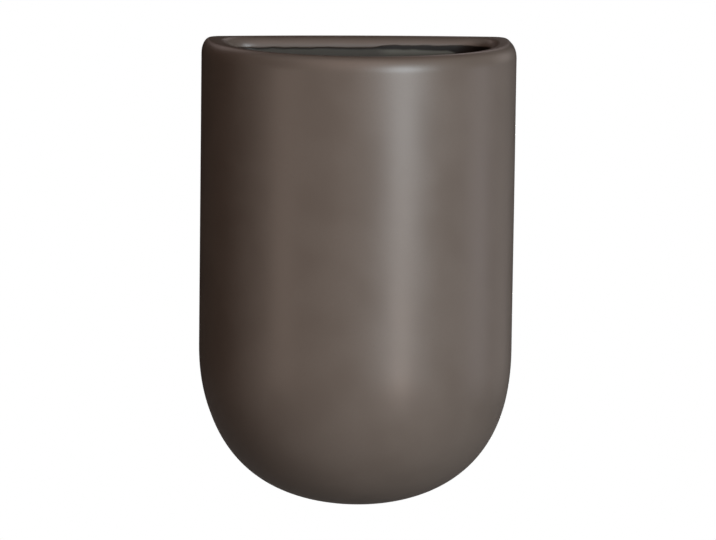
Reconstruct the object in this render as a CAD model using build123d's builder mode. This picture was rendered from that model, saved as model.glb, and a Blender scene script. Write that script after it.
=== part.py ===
"""Ceramic wall pot with its two screws, two wall plugs and four wall bumpers.

The wall is the plane Y = 0 and the pot hangs in front of it, towards -Y, with Z upwards.
The origin is on the wall, midway between the two screws that the pot hangs on.
Sizes are in millimetres.
"""

import os

from build123d import *

# Pot
pot_width = 150
pot_height = 224
side_depth = 20  # straight part of each side, behind the half-round front
bottom_height = 75  # height of the rounded bottom
bottom_fullness = 0.645  # 0.552 is a plain ellipse, and more is squarer
wall = 9
rim_flat = 0.2  # what the full-round rim leaves flat on its crest
back_edge_round = 7  # upright back corners, and the edge that runs on under them
cavity_edge_round = 5  # the same edges inside

# Keyholes in the pot's back
screw_spacing = 80
screw_drop = 30  # from the rim down to the screws
lift = 10  # how far the pot rises before the screw heads pass through
shank_clearance = 0.3
head_clearance = 0.75
keyhole_edge_round = 0.8

# Pan-head wall screws
screw_length = 45  # without the head
shank_diameter = 4.5
plain_shank_length = 19  # from the head to the first thread
core_diameter = 3.2
tip_length = 6
head_diameter = 9
head_height = 3
head_crown_round = 2
head_gap = 0.5  # from the head to the inside of the pot's back

# Wall plugs
plug_diameter = 6
plug_length = 30  # behind the collar
sleeve_length = 12  # plain front part, which fills the mouth of the hole
neck_length = 1.2  # between the sleeve and the first tooth
tail_length = 2.4  # behind the last tooth
tooth_count = 4
tooth_depth = 0.5
tooth_relief = 0.1  # how far the teeth stay inside the sleeve's radius
collar_diameter = 8.5
collar_thickness = 0.9
collar_round = 0.4
bore_clearance = 0.1
slit_width = 0.8

# Wall bumpers
bumper_diameter = 12
bumper_thickness = 1.5
bumper_round = 0.5
upper_bumper_inset = 16  # from the pot's side to the centre
upper_bumper_drop = 14  # from the rim to the centre
lower_bumper_inset = 30
lower_bumper_rise = 44  # from the lowest point to the centre

# Places that follow from these sizes
rim_z = screw_drop
bottom_z = rim_z - pot_height
half_width = pot_width / 2
back_y = -bumper_thickness
middle_y = back_y - side_depth
head_y = back_y - wall - head_gap
screw_places = {"left": -screw_spacing / 2, "right": screw_spacing / 2}

# Upright planes, seen from the front
wall_plane = Plane.XZ
back_plane = Plane.XZ.offset(-back_y)
middle_plane = Plane.XZ.offset(-middle_y)


def half_outline(reach, top, bottom, curve_height):
    """Draws the right half of an outline that is straight at the side and rounded below."""
    curve_top = bottom + curve_height
    Polyline((0, bottom), (0, top), (reach, top), (reach, curve_top))
    Bezier(
        (reach, curve_top),
        (reach, curve_top - bottom_fullness * curve_height),
        (bottom_fullness * reach, bottom),
        (0, bottom),
    )


def round_fronted(reach, top, bottom, curve_height, depth, edge_round):
    """A half-round front turned about one upright axis, on straight sides and a flat back."""
    with BuildPart() as form:
        with BuildSketch(middle_plane) as half:
            with BuildLine():
                half_outline(reach, top, bottom, curve_height)
            make_face()
        revolve(axis=Axis((0, middle_y, 0), (0, 0, -1)), revolution_arc=180)
        with BuildSketch(middle_plane):
            add(half.sketch_local)
            mirror(about=Plane.YZ)
        extrude(amount=-depth)
        back = form.faces().sort_by(Axis.Y)[-1]
        fillet(back.edges().sort_by(Axis.Z)[:-1], edge_round)
    return form.part


def screw_axis(place):
    """The axis of the screw and plug at this place along the wall."""
    return Axis((place, 0, 0), (0, 1, 0))


def screw_section(place):
    """Level plane through a screw: first its radius, then the depth into the wall."""
    return Plane(origin=(place, 0, 0), x_dir=(1, 0, 0), z_dir=(0, 0, 1))


os.makedirs("parts", exist_ok=True)

# Pot: a wall of one thickness, open above, with a full-round rim
pot_outside = round_fronted(half_width, rim_z, bottom_z, bottom_height, side_depth, back_edge_round)
pot_inside = round_fronted(
    half_width - wall,
    rim_z + wall,
    bottom_z + wall,
    bottom_height - wall,
    side_depth - wall,
    cavity_edge_round,
)
with BuildPart() as pot:
    add(pot_outside)
    add(pot_inside, mode=Mode.SUBTRACT)
    fillet(pot.faces().sort_by(Axis.Z)[-1].edges(), (wall - rim_flat) / 2)
    # A head goes in at the round opening, and its shank ends up at the top of the slot
    with BuildSketch(back_plane):
        with Locations([(place, -lift) for place in screw_places.values()]):
            Circle(head_diameter / 2 + head_clearance)
        with Locations([(place, -lift / 2) for place in screw_places.values()]):
            SlotCenterToCenter(lift, shank_diameter + 2 * shank_clearance, rotation=90)
    extrude(amount=wall, mode=Mode.SUBTRACT)
    pierced = pot.faces().filter_by(GeomType.PLANE).filter_by(Axis.Y).sort_by(SortBy.AREA)[-2:]
    keyhole_wires = [wire for face in pierced for wire in face.inner_wires()]
    fillet([edge for wire in keyhole_wires for edge in wire.edges()], keyhole_edge_round)
pot.part.label = "pot"
export_step(pot.part, "parts/pot.step")

# Screws: crowned pan head, plain shank, and a thinner threaded core that ends in a point
shank_radius = shank_diameter / 2
core_radius = core_diameter / 2
plain_end = head_y + plain_shank_length
core_start = plain_end + shank_radius - core_radius
screw_end = head_y + screw_length
for side, place in screw_places.items():
    with BuildPart() as screw:
        with BuildSketch(screw_section(place)):
            with BuildLine():
                Polyline(
                    (0, head_y - head_height),
                    (head_diameter / 2, head_y - head_height),
                    (head_diameter / 2, head_y),
                    (shank_radius, head_y),
                    (shank_radius, plain_end),
                    (core_radius, core_start),
                    (core_radius, screw_end - tip_length),
                    (0, screw_end),
                    close=True,
                )
            make_face()
        revolve(axis=screw_axis(place))
        fillet(screw.edges().filter_by(GeomType.CIRCLE).sort_by(Axis.Y)[0], head_crown_round)
    screw.part.label = f"wall_screw_{side}"
    export_step(screw.part, f"parts/wall_screw_{side}.step")

# Plugs: collar on the wall, plain sleeve, then barbed legs that the screw spreads
sleeve_radius = plug_diameter / 2
tooth_radius = sleeve_radius - tooth_relief
root_radius = tooth_radius - tooth_depth
teeth_start = sleeve_length + neck_length
tooth_pitch = (plug_length - tail_length - teeth_start) / tooth_count
for side, place in screw_places.items():
    with BuildPart() as plug:
        with BuildSketch(screw_section(place)):
            with BuildLine():
                corners = [
                    (collar_diameter / 2, -collar_thickness),
                    (collar_diameter / 2, 0),
                    (sleeve_radius, 0),
                    (sleeve_radius, sleeve_length),
                    (root_radius, sleeve_length),
                ]
                for tooth in range(tooth_count):
                    tooth_start = teeth_start + tooth * tooth_pitch
                    corners += [(root_radius, tooth_start), (tooth_radius, tooth_start)]
                Polyline(
                    *corners,
                    (root_radius, plug_length - tail_length),
                    (root_radius, plug_length),
                    (core_radius + bore_clearance, plug_length),
                    (core_radius + bore_clearance, core_start + bore_clearance),
                    (shank_radius + bore_clearance, core_start + bore_clearance),
                    (shank_radius + bore_clearance, -collar_thickness),
                    close=True,
                )
            make_face()
        revolve(axis=screw_axis(place))
        collar_edges = plug.edges().filter_by(GeomType.CIRCLE).sort_by(SortBy.RADIUS)[-2:]
        fillet(collar_edges.sort_by(Axis.Y)[0], collar_round)
        with BuildSketch(wall_plane.offset(-plug_length)):
            with Locations((place, 0)):
                Rectangle(plug_diameter, slit_width)
                Rectangle(slit_width, plug_diameter)
        extrude(amount=plug_length - teeth_start, mode=Mode.SUBTRACT)
    plug.part.label = f"wall_plug_{side}"
    export_step(plug.part, f"parts/wall_plug_{side}.step")

# Bumpers: flat pads stuck to the pot's back, which keep it off the wall
upper_reach = half_width - upper_bumper_inset
lower_reach = half_width - lower_bumper_inset
bumper_places = {
    "upper_left": (-upper_reach, rim_z - upper_bumper_drop),
    "upper_right": (upper_reach, rim_z - upper_bumper_drop),
    "lower_left": (-lower_reach, bottom_z + lower_bumper_rise),
    "lower_right": (lower_reach, bottom_z + lower_bumper_rise),
}
for name, place in bumper_places.items():
    with BuildPart() as bumper:
        with BuildSketch(wall_plane):
            with Locations(place):
                Circle(bumper_diameter / 2)
        extrude(amount=bumper_thickness)
        fillet(bumper.edges().filter_by(GeomType.CIRCLE).sort_by(Axis.Y)[-1], bumper_round)
    bumper.part.label = f"bumper_{name}"
    export_step(bumper.part, f"parts/bumper_{name}.step")
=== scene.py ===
import math

import bmesh
import bpy
import numpy as np
from mathutils import Matrix, Vector


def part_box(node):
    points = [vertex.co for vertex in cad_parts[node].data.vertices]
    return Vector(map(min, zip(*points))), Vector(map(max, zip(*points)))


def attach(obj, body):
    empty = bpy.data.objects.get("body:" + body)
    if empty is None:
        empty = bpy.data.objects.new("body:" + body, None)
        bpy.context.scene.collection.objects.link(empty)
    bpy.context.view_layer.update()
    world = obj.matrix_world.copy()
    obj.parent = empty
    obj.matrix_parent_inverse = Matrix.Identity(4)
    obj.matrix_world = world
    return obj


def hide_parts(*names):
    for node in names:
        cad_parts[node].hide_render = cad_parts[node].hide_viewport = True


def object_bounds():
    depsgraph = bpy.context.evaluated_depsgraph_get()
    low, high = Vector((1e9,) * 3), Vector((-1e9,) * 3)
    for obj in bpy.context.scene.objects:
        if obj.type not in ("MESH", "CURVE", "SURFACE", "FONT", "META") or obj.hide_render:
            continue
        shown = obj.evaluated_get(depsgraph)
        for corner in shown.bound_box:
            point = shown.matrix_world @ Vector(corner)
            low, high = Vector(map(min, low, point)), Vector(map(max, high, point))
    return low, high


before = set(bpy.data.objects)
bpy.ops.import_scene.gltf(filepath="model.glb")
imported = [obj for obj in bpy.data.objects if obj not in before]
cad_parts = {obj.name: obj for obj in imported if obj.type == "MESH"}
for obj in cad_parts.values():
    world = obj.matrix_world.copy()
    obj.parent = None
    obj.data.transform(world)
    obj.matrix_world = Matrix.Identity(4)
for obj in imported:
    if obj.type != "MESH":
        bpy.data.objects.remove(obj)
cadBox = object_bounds()
mm = 0.001
sides = {"left": -1, "right": 1}
print("frame loaded:", ", ".join(sorted(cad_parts)))


def linkMesh(name, points, faces):
    mesh = bpy.data.meshes.new(name)
    mesh.from_pydata([tuple(p) for p in points], [], faces)
    mesh.update()
    obj = bpy.data.objects.new(name, mesh)
    bpy.context.scene.collection.objects.link(obj)
    return obj


def loopFaces(rows, columns):
    # quads between closed rings of points, ring after ring
    faces = []
    for row in range(rows - 1):
        here, after = row * columns, (row + 1) * columns
        for column in range(columns):
            right = (column + 1) % columns
            faces.append((here + column, here + right, after + right, after + column))
    return faces


def tidyMesh(obj, mergeDistance=1e-6):
    bm = bmesh.new()
    bm.from_mesh(obj.data)
    bmesh.ops.remove_doubles(bm, verts=bm.verts, dist=mergeDistance)
    bmesh.ops.dissolve_degenerate(bm, edges=bm.edges, dist=mergeDistance)
    bmesh.ops.recalc_face_normals(bm, faces=bm.faces)
    for face in bm.faces:
        face.smooth = True
    bm.to_mesh(obj.data)
    bm.free()


def applyModifiers(obj):
    bpy.context.view_layer.update()
    graph = bpy.context.evaluated_depsgraph_get()
    mesh = bpy.data.meshes.new_from_object(obj.evaluated_get(graph))
    obj.modifiers.clear()
    old, obj.data = obj.data, mesh
    mesh.name = obj.name
    bpy.data.meshes.remove(old)


def cutAway(obj, cutters):
    for cutter in cutters:
        cut = obj.modifiers.new("cut", "BOOLEAN")
        cut.operation = "DIFFERENCE"
        cut.solver = "EXACT"
        cut.object = cutter
    applyModifiers(obj)
    for cutter in cutters:
        bpy.data.objects.remove(cutter)


def shadeByAngle(obj, degrees):
    # smooth shading with crisp edges where two faces meet more sharply than this
    bm = bmesh.new()
    bm.from_mesh(obj.data)
    for face in bm.faces:
        face.smooth = True
    for edge in bm.edges:
        edge.smooth = len(edge.link_faces) == 2 and edge.calc_face_angle() < math.radians(degrees)
    bm.to_mesh(obj.data)
    bm.free()
    weighted = obj.modifiers.new("weighted", "WEIGHTED_NORMAL")
    weighted.keep_sharp = True
    applyModifiers(obj)


# Pot: the same form as the CAD pot on a finer mesh, in mm until the mesh is made
potLow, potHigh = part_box("pot")
potShape = {
    "halfWidth": potHigh.x / mm,
    "rimZ": potHigh.z / mm,
    "bottomZ": potLow.z / mm,
    "backY": potHigh.y / mm,
    "sideDepth": 20,  # straight sides behind the half-round front
    "bottomHeight": 75,
    "fullness": 0.645,
    "wall": 9,
    "rimInset": 4.4,  # from either face of the wall to the rim's crest
    "rimOutside": 7.6,  # how far down the rim's rounding reaches outside
    "rimInside": 5,
    "backRound": (9, 9),  # upright back corners: along the wall, and out from it
    "insideRound": (16, 10.9),
    "frontSteps": 152,
    "cornerSteps": 9,
    "sideSteps": 7,
    "backSteps": 44,
    "straightRows": 64,
    "bottomRows": 54,
    "rimRows": 9,
    "fullLip": 4.6,  # how much thicker the lip is at its two ends, on the inside
    "fullReach": 40,  # how far below the rim that has faded out
    "fullPower": 5,  # how closely it keeps to the ends
    "sideDip": 0.5,  # how far the rim sinks towards the sides, as it warps a little in the kiln
    "dipReach": 40,  # how far below the rim that has faded out
    "lean": 0.45,  # how far the bottom has settled to the right
    "leanTop": -125,  # the height where that starts
    "leanReach": 50,
    "wave": 0.07,  # slow hand-made unevenness of the outside, always inwards
    "waveTop": 1.4,  # the highest value of slowWaves
    "waveStart": 8,  # mm in front of the back where the waves start
    "waveGrow": 12,
    "skin": 0.04,  # what the outside stays inside the CAD's outside
    "glazeEnd": 5.3,  # how far below the rim the outer glaze ends inside
    # steps: how much, from where along the wall, and over what width
    "glazeStep": (1.1, 7, 5),  # this edge rises
    "paintedShade": 0.8,  # mm of near-black painted shade below that edge
    "paintedShadeSteps": [(1.1, 7, 6), (0.5, 22, 14), (4.0, 42, 14)],  # the painted shade's lower edge sinks, most at the right, where the inside is unlit
    "paintedLightSteps": [(1.0, 8, 8), (-1.0, 46, 12)],  # painted light: the inside gets paler, and dark again
    "paintedLightEnd": (1.0, 7.7, 1.6),  # how far below the rim the painted light ends
    "paintedLightDepth": 20,  # and how far in front of the back
    "crestDepth": (0.5, 2.4),  # below the rim, where the crest's darker tone, thinner glaze and painted shade, starts to fade, and ends
    "crestReach": (50, 66),  # and the same sideways
    "flatWithin": 0.05,  # how near the back's plane a point counts as part of the flat back
    "crispAngle": 35,  # degrees between two faces, above which their edge stays crisp
}


def skinRows(shape, reach, top, bottom, curveHeight, backY, edgeRound):
    # closed rings from just under the rim down to the lowest point, with each ring's outward normals
    middleY = shape["backY"] - shape["sideDepth"]
    across, deep = edgeRound
    curveTop = bottom + curveHeight
    stations = [(reach, z, 1.0, 0.0) for z in np.linspace(top, curveTop, shape["straightRows"])]
    full = shape["fullness"]
    a, b = np.array((reach, curveTop)), np.array((reach, curveTop - full * curveHeight))
    c, d = np.array((full * reach, bottom)), np.array((0.0, bottom))
    for t in np.linspace(0, 1, shape["bottomRows"])[1:]:
        s = 1 - t
        place = s**3 * a + 3 * s * s * t * b + 3 * s * t * t * c + t**3 * d
        slope = s * s * (b - a) + 2 * s * t * (c - b) + t * t * (d - c)
        slope /= np.linalg.norm(slope)
        stations.append((place[0], place[1], -slope[1], slope[0]))
    bend = np.linspace(math.pi / 2, 0, shape["cornerSteps"] + 1)
    along = np.linspace(0, 1, shape["sideSteps"] + 1)[1:-1]
    turn = np.linspace(0, math.pi, shape["frontSteps"] + 1)
    overBack = np.linspace(-1, 1, shape["backSteps"] + 1)[1:-1]
    rings, normals = [], []
    for r, z, nx, nz in stations:
        half, halfNormal = [], []
        for k in bend:
            inset = across * (1 - math.cos(k))
            half.append((r - inset * nx, backY - deep + deep * math.sin(k), z - inset * nz))
            facing = np.array((deep * math.cos(k), across * math.sin(k)))
            facing /= np.linalg.norm(facing)
            halfNormal.append((nx * facing[0], facing[1], nz * facing[0]))
        for share in along:
            half.append((r, backY - deep + share * (middleY - backY + deep), z))
            halfNormal.append((nx, 0, nz))
        ring = list(half)
        ringNormal = list(halfNormal)
        for k in turn:
            ring.append((r * math.cos(k), middleY - r * math.sin(k), z))
            ringNormal.append((nx * math.cos(k), -nx * math.sin(k), nz))
        ring += [(-x, y, h) for x, y, h in reversed(half)]
        ringNormal += [(-x, y, h) for x, y, h in reversed(halfNormal)]
        edge, level = half[0][0], half[0][2]
        ring += [(edge * share, backY, level) for share in overBack]
        ringNormal += [(0, 1, 0)] * len(overBack)
        rings.append(ring)
        normals.append(ringNormal)
    return np.array(rings), np.array(normals)


def slowWaves(x, y, z):
    # two waves that cross, and a smaller one, with lengths and phases that never line up
    crossing = np.sin(x / 17 + z / 41 + 0.6) * np.sin(z / 29 - y / 23 + 1.9)
    return crossing + np.sin(x / 9.5 - z / 19) * 0.4


def makePot(shape):
    wall, inset = shape["wall"], shape["rimInset"]
    outer, outerNormal = skinRows(
        shape,
        shape["halfWidth"],
        shape["rimZ"] - shape["rimOutside"],
        shape["bottomZ"],
        shape["bottomHeight"],
        shape["backY"],
        shape["backRound"],
    )
    inner, innerNormal = skinRows(
        shape,
        shape["halfWidth"] - wall,
        shape["rimZ"] - shape["rimInside"],
        shape["bottomZ"] + wall,
        shape["bottomHeight"] - wall,
        shape["backY"] - wall,
        shape["insideRound"],
    )
    # the lip is fuller towards its two ends
    top = np.clip(1 - (shape["rimZ"] - inner[..., 2]) / shape["fullReach"], 0, 1) ** 2
    share = inner[..., 0] / (shape["halfWidth"] - wall)
    inner[..., 0] -= shape["fullLip"] * top * share ** shape["fullPower"]
    # slow waves in the outside, fading out at the flat back
    x, y, z = outer[..., 0], outer[..., 1], outer[..., 2]
    wave = shape["skin"] + shape["wave"] * (slowWaves(x, y, z) + shape["waveTop"]) / 2
    fade = np.clip((shape["backY"] - shape["waveStart"] - y) / shape["waveGrow"], 0, 1)
    outer = outer - outerNormal * (fade * wave)[..., None]
    bend = np.linspace(0, math.pi / 2, shape["rimRows"] + 1)[1:]
    rim = []
    for k in bend:
        rise = [0, 0, shape["rimOutside"] * math.sin(k)]
        rim.append(outer[0] - inset * (1 - math.cos(k)) * outerNormal[0] + rise)
    for k in bend[::-1]:
        rise = [0, 0, shape["rimInside"] * math.sin(k)]
        rim.append(inner[0] + inset * (1 - math.cos(k)) * innerNormal[0] + rise)
    rings = np.concatenate([outer[::-1], np.array(rim), inner])
    low = np.clip((shape["leanTop"] - rings[..., 2]) / shape["leanReach"], 0, 1)
    rings[..., 0] += shape["lean"] * low * low * (3 - 2 * low)
    # the rim sinks a little towards the sides, and less and less further down
    near = np.clip(1 - (shape["rimZ"] - rings[..., 2]) / shape["dipReach"], 0, 1) ** 2
    aside = np.clip(np.abs(rings[..., 0]) / shape["halfWidth"], 0, 1) ** 2
    rings[..., 2] -= shape["sideDip"] * near * aside
    rows, columns = rings.shape[:2]
    obj = linkMesh("glazed_pot", rings.reshape(-1, 3) * mm, loopFaces(rows, columns))
    tidyMesh(obj)
    return obj


keyhole = {
    "spacing": 80,
    "lift": 10,
    "entryRadius": 5.25,
    "slotRadius": 2.55,
    "edgeRound": 0.8,
    "past": 0.6,  # how far the cutter reaches past either face
    "steps": 7,  # across the edge's rounding
    "slotSteps": 25,
    "entrySteps": 61,
}


def keyholeLoop(hole, place, grow, y):
    # round opening below and a slot up to the screw, both grown by the same amount
    big, small = hole["entryRadius"] + grow, hole["slotRadius"] + grow
    low = -hole["lift"]
    meet = math.asin(small / big)
    over = np.linspace(0, math.pi, hole["slotSteps"])
    under = np.linspace(math.pi / 2 + meet, math.pi * 2.5 - meet, hole["entrySteps"])
    points = [(small * math.cos(k), small * math.sin(k)) for k in over]
    points += [(big * math.cos(k), low + big * math.sin(k)) for k in under]
    return [(place + u, y, w) for u, w in points]


def makeKeyholeCutter(hole, shape, side):
    outside, depth, edge = shape["backY"], shape["wall"], hole["edgeRound"]
    flare = [
        (outside - y0, edge - edge * math.sqrt(max(0, 1 - (1 - (outside - y0) / edge) ** 2)))
        for y0 in np.linspace(outside, outside - edge, hole["steps"])
    ]
    levels = [(outside + hole["past"], edge)] + [(outside - d, g) for d, g in flare]
    levels += [(outside - depth + d, g) for d, g in reversed(flare)]
    levels += [(outside - depth - hole["past"], edge)]
    loops = [keyholeLoop(hole, side * hole["spacing"] / 2, grow, y) for y, grow in levels]
    count = len(loops[0])
    points = np.array(loops).reshape(-1, 3) * mm
    faces = loopFaces(len(loops), count)
    faces += [tuple(range(count)), tuple(range((len(loops) - 1) * count, len(loops) * count))]
    cutter = linkMesh("keyholeCutter", points, faces)
    tidyMesh(cutter)
    return cutter


def easedStep(x, height, start, width):
    share = np.clip((x - start) / width, 0, 1)
    return height * share * share * (3 - 2 * share)


def markPot(obj, shape):
    # belowGlaze: mm below the edge inside where the outer glaze ends
    # below the painted shade: mm below the near-black band of painted shade under that edge
    # painted light: 1 where the inside is painted paler, as if lit
    # crest: 1 along the top of the rim at the front, painted darker there: thinner glaze, and painted shade
    # backInset: how far in from the soft edge of the flat back, in mm
    mesh = obj.data
    co = np.zeros(len(mesh.vertices) * 3)
    mesh.vertices.foreach_get("co", co)
    x, y, z = co.reshape(-1, 3).T / mm
    outline, _ = skinRows(
        shape,
        shape["halfWidth"],
        shape["rimZ"],
        shape["bottomZ"],
        shape["bottomHeight"],
        shape["backY"],
        shape["backRound"],
    )
    edge = outline[:, shape["cornerSteps"] + 1]
    radius = np.interp(z, edge[::-1, 2], edge[::-1, 0])
    middleY = shape["backY"] - shape["sideDepth"]
    reach = np.where(y < middleY, np.hypot(x, y - middleY), np.abs(x))
    bottomGap = z - np.interp(np.abs(x), edge[::-1, 0], edge[::-1, 2])
    depth = np.minimum(radius - reach, shape["backY"] - y)
    inner = (depth > shape["wall"] / 2) & (bottomGap > shape["wall"] / 2)
    drop = shape["rimZ"] - z
    below = drop - shape["glazeEnd"] + easedStep(x, *shape["glazeStep"])
    # a near-black band of painted shade under the glaze's end
    paintedShade = below - shape["paintedShade"] - sum(easedStep(x, *step) for step in shape["paintedShadeSteps"])
    # painted light on the inner back wall, where it is lit
    paintedLight = sum(easedStep(x, *step) for step in shape["paintedLightSteps"])
    full, end = shape["crestDepth"]
    near, far = shape["crestReach"]
    # the rim's top at the front, painted darker: thinner glaze, and painted shade
    crest = np.clip((end - drop) / (end - full), 0, 1)
    crest = crest * np.clip((far - np.abs(x)) / (far - near), 0, 1)
    nearest = np.full(len(x), np.inf)
    for ex, ez in edge[:, (0, 2)]:
        nearest = np.minimum(nearest, np.hypot(np.abs(x) - ex, z - ez))
    corner = shape["backRound"][0]
    inset = np.where(y > shape["backY"] - shape["flatWithin"], nearest - corner, -corner)
    inset = np.minimum(inset, shape["rimZ"] - shape["rimOutside"] - z)
    marks = {
        "belowGlaze": np.where(inner, below, -shape["glazeEnd"]),
        "belowPaintedShade": np.where(inner, paintedShade, -shape["glazeEnd"]),
        "paintedLight": paintedLight * (1 - easedStep(drop, *shape["paintedLightEnd"])) * (y > shape["backY"] - shape["paintedLightDepth"]),
        "crest": crest,
        "backInset": inset,
    }
    for name, values in marks.items():
        mark = mesh.attributes.new(name, "FLOAT", "POINT")
        mark.data.foreach_set("value", values.astype(np.float32))


pot = makePot(potShape)
cutAway(pot, [makeKeyholeCutter(keyhole, potShape, side) for side in sides.values()])
shadeByAngle(pot, potShape["crispAngle"])
markPot(pot, potShape)
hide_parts("pot")
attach(pot, "planter")
print("pot:", len(pot.data.polygons), "faces")


# Screws: crowned head with a cross recess, plain shank, and a rolled thread up to the point
screwShape = {
    "headRadius": 4.5,
    "headHeight": 3,
    "crown": 2,
    "shankRadius": 2.25,
    "shankLength": 19,
    "coreRadius": 1.6,
    "threadRadius": 2.2,
    "pitch": 1.8,
    "tip": 6,
    "point": (0.18, 0.35),  # radius of the last step before the point, and how far before it
    "headBevel": 0.25,
    "neckBevel": 0.2,
    "coreStep": 0.65,  # length of the taper from the shank to the core
    "recess": [(-0.5, 2.5, 0.95), (2.1, 1.1, 0.52)],  # depth, reach and width of the cross at both ends
    "threadEnds": (0.6, 0.7),  # from the thread's start to the core's taper, and from its end to the point
    "threadRuns": (0.8, 1.6),  # turns over which it rises and runs out
    "threadFoot": 0.52,  # half the ridge's width at the core
    "threadCrest": 0.06,
    "leastRise": 0.02,
    "footShare": 0.9,  # of the core's radius, so that the ridge is rooted in it
    "tipShare": 0.12,  # the least of the core's radius near the point
    "tipShift": 0.4,
    "crownSteps": 9,
    "steps": 48,
    "crispAngle": 40,
}


def lathe(name, profile, place, steps):
    # profile: (radius, y) from one end of the axis to the other, turned about the axis through place
    rings = []
    for radius, y in profile:
        ring = np.linspace(0, 2 * math.pi, steps, endpoint=False)
        rings += [(place + radius * math.cos(k), y, radius * math.sin(k)) for k in ring]
    obj = linkMesh(name, np.array(rings) * mm, loopFaces(len(profile), steps))
    tidyMesh(obj)
    return obj


def makeCrossCutter(place, levels):
    # two crossing wings between two levels: (y, reach, width)
    points, faces = [], []
    for turn in (0, math.pi / 2):
        start = len(points)
        c, s = math.cos(turn), math.sin(turn)
        for y, reach, width in levels:
            half = width / 2
            for u, w in ((-reach, -half), (reach, -half), (reach, half), (-reach, half)):
                points.append((place + u * c - w * s, y, u * s + w * c))
        corners = [(0, 1, 2, 3), (4, 5, 6, 7), (0, 1, 5, 4), (1, 2, 6, 5), (2, 3, 7, 6), (3, 0, 4, 7)]
        faces += [tuple(start + i for i in face) for face in corners]
    cutter = linkMesh("crossCutter", np.array(points) * mm, faces)
    tidyMesh(cutter)
    return cutter


def makeThread(shape, place, start, end):
    # one closed ridge with a sharp crest, wound round the core and run out at both ends
    turns = (end - start) / shape["pitch"]
    count = int(turns * shape["steps"])
    runIn, runOut = shape["threadRuns"]
    foot, crest = shape["threadFoot"], shape["threadCrest"]
    points, faces = [], []
    for i in range(count + 1):
        share = i / count
        angle = 2 * math.pi * turns * share
        y = start + (end - start) * share
        taper = max(shape["tipShare"], (end + shape["tipShift"] - y) / shape["tip"])
        core = shape["coreRadius"] * min(1, taper)
        rise = shape["threadRadius"] - shape["coreRadius"]
        rise *= min(1, share * turns / runIn, (1 - share) * turns / runOut)
        top, root = core + max(rise, shape["leastRise"]), core * shape["footShare"]
        for radius, shift in ((root, -foot), (top, -crest), (top, crest), (root, foot)):
            points.append((place + radius * math.cos(angle), y + shift, radius * math.sin(angle)))
    for i in range(count):
        for j in range(4):
            after = (j + 1) % 4
            faces.append((4 * i + j, 4 * i + after, 4 * i + 4 + after, 4 * i + 4 + j))
    faces += [(0, 1, 2, 3), (4 * count + 3, 4 * count + 2, 4 * count + 1, 4 * count)]
    obj = linkMesh("thread", np.array(points) * mm, faces)
    tidyMesh(obj)
    return obj


def makeScrew(shape, name):
    low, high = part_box(f"wall_screw_{name}")
    place = (low.x + high.x) / 2 / mm
    headTop, end = low.y / mm, high.y / mm
    head, crown, shank, core = (shape[k] for k in ("headRadius", "crown", "shankRadius", "coreRadius"))
    under = headTop + shape["headHeight"]
    plain = under + shape["shankLength"]
    profile = [(0, headTop), (head - crown, headTop)]
    for k in np.linspace(0, math.pi / 2, shape["crownSteps"])[1:]:
        profile.append((head - crown * (1 - math.sin(k)), headTop + crown * (1 - math.cos(k))))
    profile += [(head, under - shape["headBevel"]), (head - shape["headBevel"], under)]
    profile += [(shank + shape["neckBevel"], under), (shank, under + shape["neckBevel"])]
    profile += [(shank, plain), (core, plain + shape["coreStep"]), (core, end - shape["tip"])]
    profile += [(shape["point"][0], end - shape["point"][1]), (0, end)]
    screw = lathe(f"wood_screw_{name}", profile, place, shape["steps"])
    recess = [(headTop + depth, reach, width) for depth, reach, width in shape["recess"]]
    cutAway(screw, [makeCrossCutter(place, recess)])
    before, after = shape["threadEnds"]
    thread = makeThread(shape, place, plain - before, end - after)
    bm = bmesh.new()
    bm.from_mesh(screw.data)
    bm.from_mesh(thread.data)
    bm.to_mesh(screw.data)
    bm.free()
    bpy.data.objects.remove(thread)
    shadeByAngle(screw, shape["crispAngle"])
    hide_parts(f"wall_screw_{name}")
    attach(screw, "wall_fixings")
    return screw


screws = [makeScrew(screwShape, name) for name in sides]
print("screws:", ", ".join(screw.name for screw in screws))


# Plugs: collar, plain sleeve, and barbed legs between two crossing slits
plugShape = {
    "collarRadius": 4.25,
    "collarRound": 0.4,
    "sleeveRadius": 3,
    "sleeveLength": 12,
    "rootRadius": 2.4,
    "toothRadius": 2.9,
    "teethStart": 13.2,
    "toothPitch": 3.6,
    "teeth": 4,
    "boreFront": 2.35,
    "boreBack": 1.7,
    "boreStep": 8.75,
    "slitWidth": 0.8,
    "sleeveBevel": 0.15,
    "endBevel": 0.2,
    "toothFlat": (0.06, 0.2),  # where a tooth's flat top starts and ends
    "past": 1,  # how far the slits' cutter reaches past the plug
    "roundSteps": 6,
    "steps": 56,
    "crispAngle": 35,
}


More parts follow.
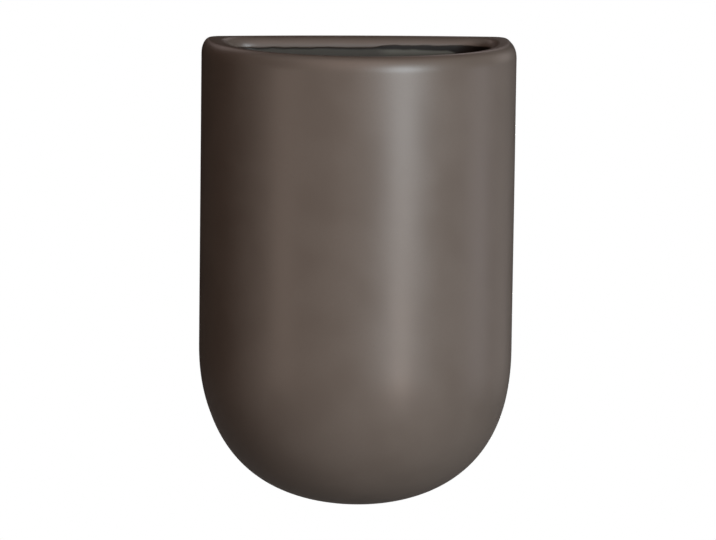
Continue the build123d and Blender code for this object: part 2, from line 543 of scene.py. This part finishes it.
def makePlug(shape, name):
    low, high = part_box(f"wall_plug_{name}")
    place, front, end = (low.x + high.x) / 2 / mm, low.y / mm, high.y / mm
    collar, bend = shape["collarRadius"], shape["collarRound"]
    sleeve, length, bevel = shape["sleeveRadius"], shape["sleeveLength"], shape["sleeveBevel"]
    root, tooth = shape["rootRadius"], shape["toothRadius"]
    profile = [(shape["boreFront"], front)]
    for k in np.linspace(0, math.pi / 2, shape["roundSteps"]):
        profile.append((collar - bend * (1 - math.sin(k)), front + bend * (1 - math.cos(k))))
    profile += [(collar, 0), (sleeve, 0), (sleeve, length - bevel)]
    profile += [(sleeve - bevel, length), (root, length)]
    for number in range(shape["teeth"]):
        start = shape["teethStart"] + number * shape["toothPitch"]
        profile += [(root, start)] + [(tooth, start + shift) for shift in shape["toothFlat"]]
    last = shape["teethStart"] + shape["teeth"] * shape["toothPitch"]
    profile += [(root, last), (root, end - shape["endBevel"]), (root - shape["endBevel"], end)]
    profile += [(shape["boreBack"], end), (shape["boreBack"], shape["boreStep"])]
    profile += [(shape["boreFront"], shape["boreStep"]), profile[0]]
    plug = lathe(f"nylon_plug_{name}", profile, place, shape["steps"])
    wing = (sleeve + shape["past"], shape["slitWidth"])
    slits = [(shape["teethStart"], *wing), (end + shape["past"], *wing)]
    cutAway(plug, [makeCrossCutter(place, slits)])
    shadeByAngle(plug, shape["crispAngle"])
    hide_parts(f"wall_plug_{name}")
    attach(plug, "wall_fixings")
    return plug


plugs = [makePlug(plugShape, name) for name in sides]
print("plugs:", ", ".join(plug.name for plug in plugs))


# Bumpers: thin pads with a soft edge and a slightly hollow middle, where they meet the wall
bumperShape = {
    "edgeRound": 0.5,
    "hollow": [(4.1, 0), (3.6, 0.084), (3.0, 0.12), (0, 0.12)],  # radius and depth
    "roundSteps": 7,
    "steps": 64,
    "crispAngle": 35,
}


def makeBumper(shape, name):
    low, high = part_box(f"bumper_{name}")
    place, level = (low.x + high.x) / 2 / mm, (low.z + high.z) / 2 / mm
    radius, back, front = (high.x - low.x) / 2 / mm, low.y / mm, high.y / mm
    bend = shape["edgeRound"]
    profile = [(0, back), (radius, back)]
    for k in np.linspace(0, math.pi / 2, shape["roundSteps"]):
        profile.append((radius - bend * (1 - math.cos(k)), front - bend * (1 - math.sin(k))))
    profile += [(reach, front - depth) for reach, depth in shape["hollow"]]
    bumper = lathe(f"rubber_bumper_{name}", profile, place, shape["steps"])
    bumper.data.transform(Matrix.Translation((0, 0, level * mm)))
    shadeByAngle(bumper, shape["crispAngle"])
    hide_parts(f"bumper_{name}")
    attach(bumper, "planter")
    return bumper


bumpers = [makeBumper(bumperShape, f"{row}_{name}") for row in ("upper", "lower") for name in sides]
print("bumpers:", ", ".join(bumper.name for bumper in bumpers))


# Node trees
def addNode(tree, kind, values=None, **settings):
    node = tree.nodes.new(kind)
    for key, value in settings.items():
        setattr(node, key, value)
    for key, value in (values or {}).items():
        if isinstance(value, bpy.types.NodeSocket):
            tree.links.new(value, node.inputs[key])
        else:
            node.inputs[key].default_value = value
    return node


def mathNode(tree, operation, first, second, clamp=False):
    terms = {0: first, 1: second}
    return addNode(tree, "ShaderNodeMath", terms, operation=operation, use_clamp=clamp).outputs[0]


def mixTones(tree, share, first, second):
    return addNode(tree, "ShaderNodeMix", {0: share, 6: first, 7: second}, data_type="RGBA").outputs[2]


def mixNumbers(tree, share, first, second):
    return addNode(tree, "ShaderNodeMix", {0: share, 2: first, 3: second}, data_type="FLOAT").outputs[0]


def tone(red, green, blue):
    return (red, green, blue, 1.0)


def newGroup(name, inputs, outputs):
    tree = bpy.data.node_groups.new(name, "ShaderNodeTree")
    for label, kind, default in inputs:
        socket = tree.interface.new_socket(label, in_out="INPUT", socket_type=kind)
        if default is not None:
            socket.default_value = default
    for label in outputs:
        tree.interface.new_socket(label, in_out="OUTPUT", socket_type="NodeSocketFloat")
    return tree, tree.nodes.new("NodeGroupInput").outputs, tree.nodes.new("NodeGroupOutput").inputs


def perMillimetre(tree, vector, size):
    scale = mathNode(tree, "DIVIDE", 1000.0, size)
    node = addNode(tree, "ShaderNodeVectorMath", {0: vector, "Scale": scale}, operation="SCALE")
    return node.outputs[0]


def makeMottle():
    # cloudy patches about Size mm across
    tree, given, out = newGroup(
        "softMottle",
        [
            ("Vector", "NodeSocketVector", None),
            ("Size", "NodeSocketFloat", 10.0),
            ("Detail", "NodeSocketFloat", 2.0),
        ],
        ["Mask", "Height"],
    )
    place = perMillimetre(tree, given["Vector"], given["Size"])
    values = {"Vector": place, "Scale": 1.0, "Detail": given["Detail"], "Roughness": 0.55}
    noise = addNode(tree, "ShaderNodeTexNoise", values)
    limits = {0: noise.outputs[0], 1: 0.34, 2: 0.66}
    spread = addNode(tree, "ShaderNodeMapRange", limits, interpolation_type="SMOOTHSTEP")
    tree.links.new(spread.outputs[0], out["Mask"])
    tree.links.new(noise.outputs[0], out["Height"])
    return tree


def makeSpecks():
    # small round spots, one in some of the cells that are Spacing mm apart
    tree, given, out = newGroup(
        "fineSpecks",
        [
            ("Vector", "NodeSocketVector", None),
            ("Spacing", "NodeSocketFloat", 2.0),
            ("Coverage", "NodeSocketFloat", 0.2),
            ("Radius", "NodeSocketFloat", 0.2),
        ],
        ["Mask"],
    )
    place = perMillimetre(tree, given["Vector"], given["Spacing"])
    cells = addNode(tree, "ShaderNodeTexVoronoi", {"Vector": place, "Scale": 1.0})
    parts = addNode(tree, "ShaderNodeSeparateColor", {0: cells.outputs["Color"]})
    chosen = mathNode(tree, "LESS_THAN", parts.outputs[0], given["Coverage"])
    size = mathNode(tree, "MULTIPLY", given["Radius"], mathNode(tree, "ADD", parts.outputs[1], 0.4))
    away = mathNode(tree, "DIVIDE", cells.outputs["Distance"], size)
    inside = mathNode(tree, "SUBTRACT", 1.0, away, clamp=True)
    soft = mathNode(tree, "MULTIPLY", inside, 2.0, clamp=True)
    tree.links.new(mathNode(tree, "MULTIPLY", soft, chosen), out["Mask"])
    return tree


def makeWanderingLine():
    # 1 where Value has passed Line, along an edge that wanders
    tree, given, out = newGroup(
        "wanderingLine",
        [
            ("Vector", "NodeSocketVector", None),
            ("Value", "NodeSocketFloat", 0.0),
            ("Line", "NodeSocketFloat", 0.0),
            ("Wander", "NodeSocketFloat", 1.0),
            ("Size", "NodeSocketFloat", 12.0),
            ("Softness", "NodeSocketFloat", 0.4),
        ],
        ["Mask"],
    )
    place = perMillimetre(tree, given["Vector"], given["Size"])
    values = {"Vector": place, "Scale": 1.0, "Detail": 3.0, "Roughness": 0.5}
    noise = addNode(tree, "ShaderNodeTexNoise", values)
    sway = mathNode(tree, "MULTIPLY", mathNode(tree, "SUBTRACT", noise.outputs[0], 0.5), 4.0)
    past = mathNode(tree, "SUBTRACT", given["Value"], given["Line"])
    terms = {0: sway, 1: given["Wander"], 2: past}
    moved = addNode(tree, "ShaderNodeMath", terms, operation="MULTIPLY_ADD").outputs[0]
    soft = mathNode(tree, "ADD", mathNode(tree, "DIVIDE", moved, given["Softness"]), 0.5, clamp=True)
    tree.links.new(soft, out["Mask"])
    return tree


mottle, specks, wanderingLine = makeMottle(), makeSpecks(), makeWanderingLine()


def useGroup(tree, group, values):
    return addNode(tree, "ShaderNodeGroup", values, node_tree=group).outputs


def newMaterial(name):
    material = bpy.data.materials.new(name)
    material.use_nodes = True
    tree = material.node_tree
    tree.nodes.clear()
    shader = tree.nodes.new("ShaderNodeBsdfPrincipled")
    output = tree.nodes.new("ShaderNodeOutputMaterial")
    tree.links.new(shader.outputs[0], output.inputs[0])
    place = tree.nodes.new("ShaderNodeTexCoord").outputs["Object"]
    return material, tree, shader, place


def bumpOn(tree, shader, heights):
    # heights: (socket, how high in mm), one bump on top of the other
    normal = None
    for socket, height in heights:
        values = {"Strength": 1.0, "Distance": height * mm, "Height": socket}
        if normal is not None:
            values["Normal"] = normal
        normal = addNode(tree, "ShaderNodeBump", values).outputs[0]
    tree.links.new(normal, shader.inputs["Normal"])


glazeLook = {
    "deep": tone(0.122, 0.098, 0.081),
    "light": tone(0.133, 0.108, 0.090),
    "speck": tone(0.070, 0.052, 0.042),
    # the rim's top at the front, darker: thinner glaze, and painted shade
    "crest": tone(0.082, 0.060, 0.048),
    "inside": tone(0.070, 0.067, 0.057),
    # painted light: the inner back wall where it is lit
    "insidePaintedLight": tone(0.128, 0.128, 0.108),
    # painted shade: a near-black band under the glaze's end inside
    "edge": tone(0.011, 0.008, 0.006),
    "clay": tone(0.56, 0.47, 0.365),
    "clayDark": tone(0.49, 0.40, 0.30),
    "roughness": (0.37, 0.42),
    "insideRoughness": 0.30,
    "clayRoughness": 0.88,
    "wide": {"Size": 30.0, "Detail": 2.0},
    "fine": {"Size": 1.3, "Detail": 3.0},
    "iron": {"Spacing": 1.5, "Coverage": 0.22, "Radius": 0.13},
    "grit": {"Spacing": 1.0, "Coverage": 0.18, "Radius": 0.25},
    "fineShare": 0.35,
    "ironShare": 0.45,
    "crestShare": 0.75,
    "clayFineShare": 0.25,
    "gritShare": 0.22,
    "glazeEdge": {"Line": 0.0, "Wander": 0.35, "Size": 9.0, "Softness": 0.7},
    # the wandering lower edge of the painted shade
    "paintedShadeEdge": {"Line": 0.0, "Wander": 0.35, "Size": 9.0, "Softness": 0.9},
    # the glaze was wiped off from 1.6 mm inside the back's soft edge
    "bareEdge": {"Line": 1.6, "Wander": 0.7, "Size": 14.0, "Softness": 0.35},
    # heights in mm
    "fineBump": 0.012,
    "wideBump": 0.08,
    "gritBump": 0.08,
    "bareStep": -0.12,
    "glazeStep": -0.25,
}


def makeGlaze(look):
    material, tree, shader, place = newMaterial("satinGlaze")
    wide = useGroup(tree, mottle, {"Vector": place, **look["wide"]})
    fine = useGroup(tree, mottle, {"Vector": place, **look["fine"]})
    iron = useGroup(tree, specks, {"Vector": place, **look["iron"]})
    grit = useGroup(tree, specks, {"Vector": place, **look["grit"]})
    marks = {
        name: addNode(tree, "ShaderNodeAttribute", attribute_name=name).outputs["Fac"]
        for name in ("belowGlaze", "belowPaintedShade", "paintedLight", "crest", "backInset")
    }

    def past(mark, edge):
        return useGroup(tree, wanderingLine, {"Vector": place, "Value": marks[mark], **look[edge]})["Mask"]

    def part(socket, share):
        return mathNode(tree, "MULTIPLY", socket, look[share])

    belowGlaze, belowPaintedShade = past("belowGlaze", "glazeEdge"), past("belowPaintedShade", "paintedShadeEdge")
    bare = past("backInset", "bareEdge")
    colour = mixTones(tree, wide["Mask"], look["deep"], look["light"])
    colour = mixTones(tree, part(fine["Mask"], "fineShare"), colour, look["deep"])
    colour = mixTones(tree, part(iron["Mask"], "ironShare"), colour, look["speck"])
    # the rim's top at the front painted darker: thinner glaze, and painted shade
    colour = mixTones(tree, part(marks["crest"], "crestShare"), colour, look["crest"])
    # painted light on the inner back wall
    inside = mixTones(tree, marks["paintedLight"], look["inside"], look["insidePaintedLight"])
    # a near-black band of painted shade under the glaze's end
    inside = mixTones(tree, belowPaintedShade, look["edge"], inside)
    colour = mixTones(tree, belowGlaze, colour, inside)
    clay = mixTones(tree, wide["Mask"], look["clay"], look["clayDark"])
    clay = mixTones(tree, part(fine["Mask"], "clayFineShare"), clay, look["clayDark"])
    clay = mixTones(tree, part(grit["Mask"], "gritShare"), clay, look["speck"])
    colour = mixTones(tree, bare, colour, clay)
    rough = mixNumbers(tree, wide["Mask"], *look["roughness"])
    rough = mixNumbers(tree, belowGlaze, rough, look["insideRoughness"])
    rough = mixNumbers(tree, bare, rough, look["clayRoughness"])
    grain = mathNode(tree, "MULTIPLY", grit["Mask"], bare)
    tree.links.new(colour, shader.inputs["Base Color"])
    tree.links.new(rough, shader.inputs["Roughness"])
    bumpOn(tree, shader, [
        (fine["Height"], look["fineBump"]),
        (wide["Height"], look["wideBump"]),
        (grain, look["gritBump"]),
        (bare, look["bareStep"]),
        (belowGlaze, look["glazeStep"]),
    ])
    return material


# Hardware: two tones and two roughnesses, each mixed by a mottle of its size in mm
zincLook = {
    "tones": (tone(0.60, 0.61, 0.62), tone(0.72, 0.72, 0.70)),
    "roughness": (0.24, 0.36),
    "cloud": {"Size": 1.6, "Detail": 3.0},
    "pits": {"Spacing": 0.5, "Coverage": 0.3, "Radius": 0.25},
    "pitHeight": -0.012,
}
nylonLook = {
    "tones": (tone(0.44, 0.46, 0.48), tone(0.50, 0.52, 0.53)),
    "roughness": (0.42, 0.52),
    "cloud": {"Size": 5.0, "Detail": 2.0},
    "grain": {"Size": 0.35, "Detail": 1.0},
    "grainHeight": 0.008,
    "scatter": 0.08,
    "scatterReach": 0.001,
}
rubberLook = {
    "tones": (tone(0.40, 0.40, 0.38), tone(0.47, 0.47, 0.45)),
    "roughness": (0.55, 0.68),
    "cloud": {"Size": 4.0, "Detail": 2.0},
    "cloudHeight": 0.02,
    "dust": {"Spacing": 0.7, "Coverage": 0.25, "Radius": 0.2},
    "dustTone": tone(0.7, 0.68, 0.64),
    "dustShare": 0.3,
}


def makeZinc(look):
    material, tree, shader, place = newMaterial("brightZinc")
    cloud = useGroup(tree, mottle, {"Vector": place, **look["cloud"]})
    pits = useGroup(tree, specks, {"Vector": place, **look["pits"]})
    tree.links.new(mixTones(tree, cloud["Mask"], *look["tones"]), shader.inputs["Base Color"])
    tree.links.new(mixNumbers(tree, cloud["Mask"], *look["roughness"]), shader.inputs["Roughness"])
    shader.inputs["Metallic"].default_value = 1.0
    bumpOn(tree, shader, [(pits["Mask"], look["pitHeight"])])
    return material


def makeNylon(look):
    material, tree, shader, place = newMaterial("greyNylon")
    cloud = useGroup(tree, mottle, {"Vector": place, **look["cloud"]})
    grain = useGroup(tree, mottle, {"Vector": place, **look["grain"]})
    tree.links.new(mixTones(tree, cloud["Mask"], *look["tones"]), shader.inputs["Base Color"])
    tree.links.new(mixNumbers(tree, grain["Mask"], *look["roughness"]), shader.inputs["Roughness"])
    shader.inputs["Subsurface Weight"].default_value = look["scatter"]
    shader.inputs["Subsurface Radius"].default_value = (look["scatterReach"],) * 3
    bumpOn(tree, shader, [(grain["Height"], look["grainHeight"])])
    return material


def makeRubber(look):
    material, tree, shader, place = newMaterial("paleRubber")
    cloud = useGroup(tree, mottle, {"Vector": place, **look["cloud"]})
    dust = useGroup(tree, specks, {"Vector": place, **look["dust"]})
    colour = mixTones(tree, cloud["Mask"], *look["tones"])
    dusty = mathNode(tree, "MULTIPLY", dust["Mask"], look["dustShare"])
    tree.links.new(mixTones(tree, dusty, colour, look["dustTone"]), shader.inputs["Base Color"])
    tree.links.new(mixNumbers(tree, cloud["Mask"], *look["roughness"]), shader.inputs["Roughness"])
    bumpOn(tree, shader, [(cloud["Height"], look["cloudHeight"])])
    return material


glaze, zinc = makeGlaze(glazeLook), makeZinc(zincLook)
nylon, rubber = makeNylon(nylonLook), makeRubber(rubberLook)
for pieces, finish in (([pot], glaze), (screws, zinc), (plugs, nylon), (bumpers, rubber)):
    for piece in pieces:
        piece.data.materials.clear()
        piece.data.materials.append(finish)
print("materials:", ", ".join(m.name for m in (glaze, zinc, nylon, rubber)))


# Studio: a pale floor well below the pot, a room that is white to the camera alone, and soft lights
studio = {
    "floorDrop": 0.30,
    "floorReach": 40.0,
    "floorTone": tone(0.25, 0.245, 0.24),
    "lights": [
        # name, azimuth (0 is in front, + is right), elevation, distance, width, height, power, colour
        ("key", 27, 11.6, 1.5, 0.42, 0.44, 19.3, (0.84, 0.94, 1.0)),
        ("lowStrip", 27, -16, 1.5, 0.14, 0.3, 5.8, (1.0, 0.81, 0.71)),
        ("topLeft", -8, 38, 1.5, 1.4, 1.4, 6.5, (1.0, 0.68, 0.58)),
        ("left", -60, -8, 1.5, 0.42, 0.5, 1.75, (1.0, 0.8, 0.68)),
        ("right", 93, -8, 1.5, 0.42, 0.5, 1.3, (0.98, 0.92, 1.0)),
        ("edgeHigh", 126, 12, 1.5, 0.5, 0.5, 1.0, (1.0, 0.87, 0.82)),
        ("edgeLow", 127, -18, 1.5, 0.6, 0.7, 0.85, (1.0, 0.88, 0.84)),
        ("behindLeft", -150, 35, 1.5, 0.7, 0.7, 1.2, (1.0, 0.82, 0.78)),
        ("behindRight", 160, 35, 1.5, 0.42, 0.5, 0.9, (1.0, 0.86, 0.84)),
        ("wallSide", 174, -13, 1.5, 0.3, 0.5, 11, (1.0, 0.98, 0.96)),
        ("above", -75, 66, 1.5, 1.5, 1.5, 2.3, (1.0, 0.95, 0.9)),
    ],
    "lightAim": (0, -0.03, -0.08),
}


def makeFloor(setup):
    # white to the camera, pale to the lights, and clear from below
    z = cadBox[0][2] - setup["floorDrop"]
    reach = setup["floorReach"]
    corners = [(-reach, -reach, z), (reach, -reach, z), (reach, reach, z), (-reach, reach, z)]
    floor = linkMesh("floor", corners, [(0, 1, 2, 3)])
    material = bpy.data.materials.new("paleFloor")
    material.use_nodes = True
    tree = material.node_tree
    tree.nodes.clear()
    seen = addNode(tree, "ShaderNodeEmission", {0: tone(1, 1, 1), 1: 1.0})
    lit = addNode(tree, "ShaderNodeBsdfDiffuse", {0: setup["floorTone"]})
    rays = tree.nodes.new("ShaderNodeLightPath").outputs["Is Camera Ray"]
    below = tree.nodes.new("ShaderNodeNewGeometry").outputs["Backfacing"]
    shown = addNode(tree, "ShaderNodeMixShader", {0: rays, 1: lit.outputs[0], 2: seen.outputs[0]})
    clear = tree.nodes.new("ShaderNodeBsdfTransparent")
    both = addNode(tree, "ShaderNodeMixShader", {0: below, 1: shown.outputs[0], 2: clear.outputs[0]})
    output = tree.nodes.new("ShaderNodeOutputMaterial")
    tree.links.new(both.outputs[0], output.inputs[0])
    floor.data.materials.append(material)


def makeRoom():
    world = bpy.data.worlds.new("room")
    bpy.context.scene.world = world
    world.use_nodes = True
    tree = world.node_tree
    tree.nodes.clear()
    rays = tree.nodes.new("ShaderNodeLightPath").outputs["Is Camera Ray"]
    background = addNode(tree, "ShaderNodeBackground", {0: tone(1, 1, 1), 1: rays})
    output = tree.nodes.new("ShaderNodeOutputWorld")
    tree.links.new(background.outputs[0], output.inputs[0])


def makeLight(target, name, azimuth, elevation, distance, width, height, power, colour):
    light = bpy.data.lights.new(name, "AREA")
    light.shape = "RECTANGLE"
    light.size, light.size_y = width, height
    light.energy = power
    light.color = colour
    obj = bpy.data.objects.new(name, light)
    bpy.context.scene.collection.objects.link(obj)
    az, el = math.radians(azimuth), math.radians(elevation)
    away = Vector((math.sin(az) * math.cos(el), -math.cos(az) * math.cos(el), math.sin(el)))
    obj.location = Vector(target) + away * distance
    obj.rotation_euler = away.to_track_quat("Z", "Y").to_euler()


makeFloor(studio)
makeRoom()
for entry in studio["lights"]:
    makeLight(studio["lightAim"], *entry)
print("studio:", len(studio["lights"]), "lights")


# Camera, at the photograph's viewing angle
view = {
    "azimuth": -5.05,
    "elevation": 9.0,
    "roll": 0.75,
    "distance": 2.5,
    "aim": (-0.00034, -0.0315, -0.07988),
    "lens": 262.8,
    "sensor": 36,
    "farEnd": 200,
}


def makeCamera(setup):
    data = bpy.data.cameras.new("camera")
    data.lens = setup["lens"]
    data.sensor_width = setup["sensor"]
    data.clip_end = setup["farEnd"]
    camera = bpy.data.objects.new("camera", data)
    bpy.context.scene.collection.objects.link(camera)
    az, el, roll = (math.radians(setup[k]) for k in ("azimuth", "elevation", "roll"))
    back = Vector((math.sin(az) * math.cos(el), -math.cos(az) * math.cos(el), math.sin(el)))
    right = (-back).cross(Vector((0, 0, 1))).normalized()
    up = right.cross(-back)
    turnedRight = right * math.cos(roll) + up * math.sin(roll)
    turnedUp = up * math.cos(roll) - right * math.sin(roll)
    place = Vector(setup["aim"]) + back * setup["distance"]
    turn = Matrix((turnedRight, turnedUp, back)).transposed()
    camera.matrix_world = Matrix.Translation(place) @ turn.to_4x4()
    bpy.context.scene.camera = camera


makeCamera(view)
bpy.context.scene.view_settings.view_transform = "Standard"
